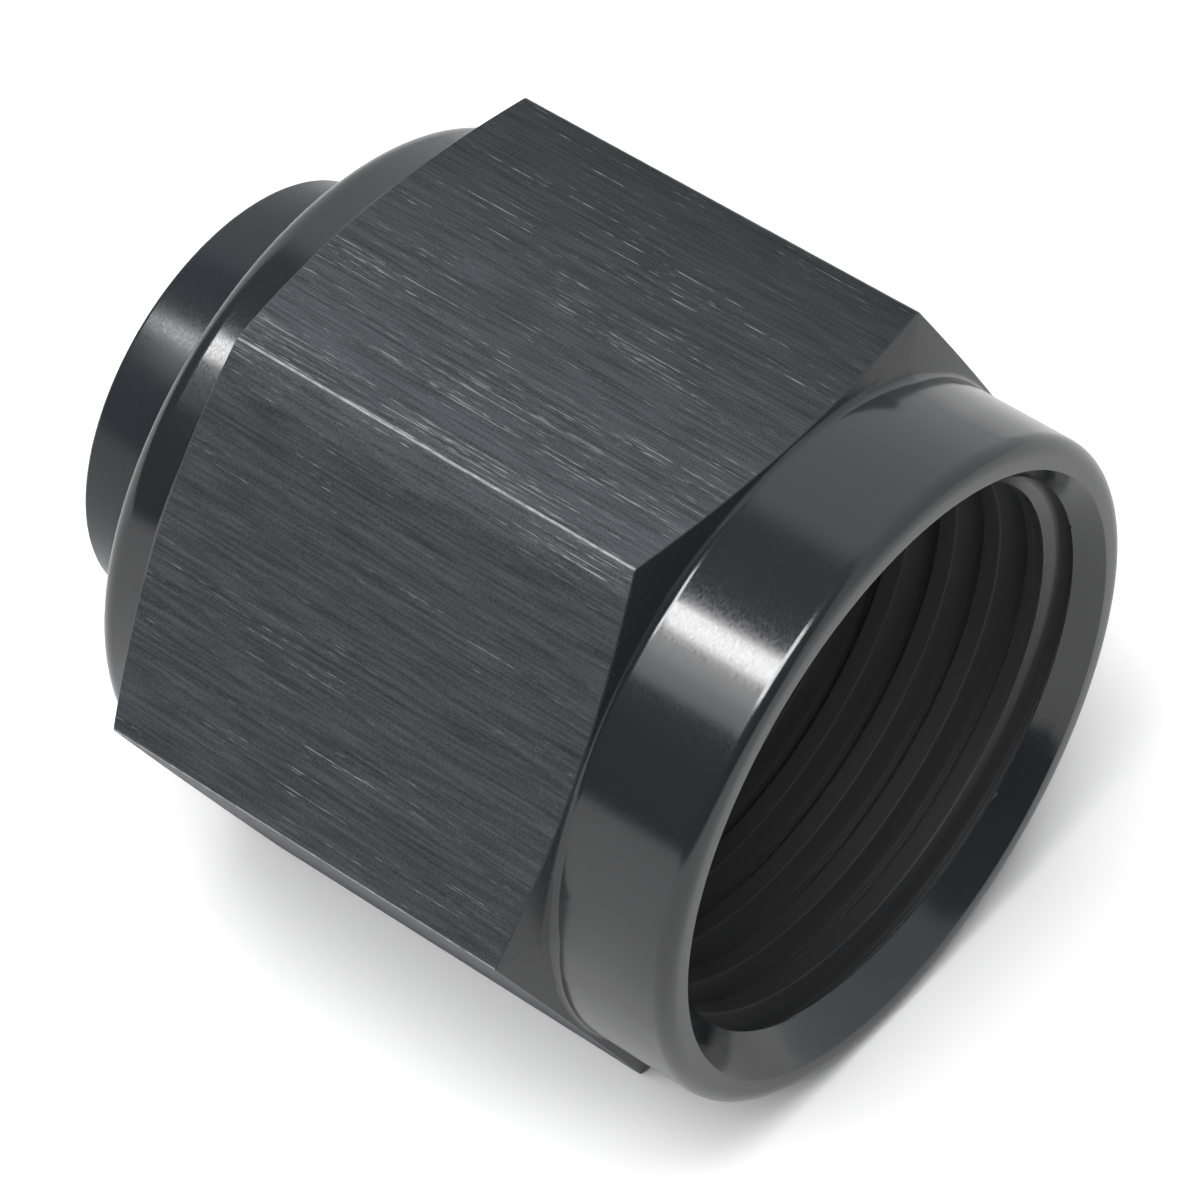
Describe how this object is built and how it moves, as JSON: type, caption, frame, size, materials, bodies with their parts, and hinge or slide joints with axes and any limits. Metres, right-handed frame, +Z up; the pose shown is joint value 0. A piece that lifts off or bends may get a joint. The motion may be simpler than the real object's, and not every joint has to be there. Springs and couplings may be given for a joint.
{
  "type": "threaded protection cap",
  "caption": "Hexagonal screw-on cap with a blind threaded bore that closes and protects a threaded fitting.",
  "frame": {"origin": "on the cap's axis, midway between its two ends", "axes": "+X along the axis out of the mouth, +Z up and square to the flat opposite the one that it lies on"},
  "size_m": [0.0252, 0.0254, 0.022],
  "materials": {
    "black_anodised": "black anodised, brushed on the flats and turned elsewhere"
  },
  "bodies": {
    "root": {"cap": "black_anodised"}
  },
  "joints": []
}
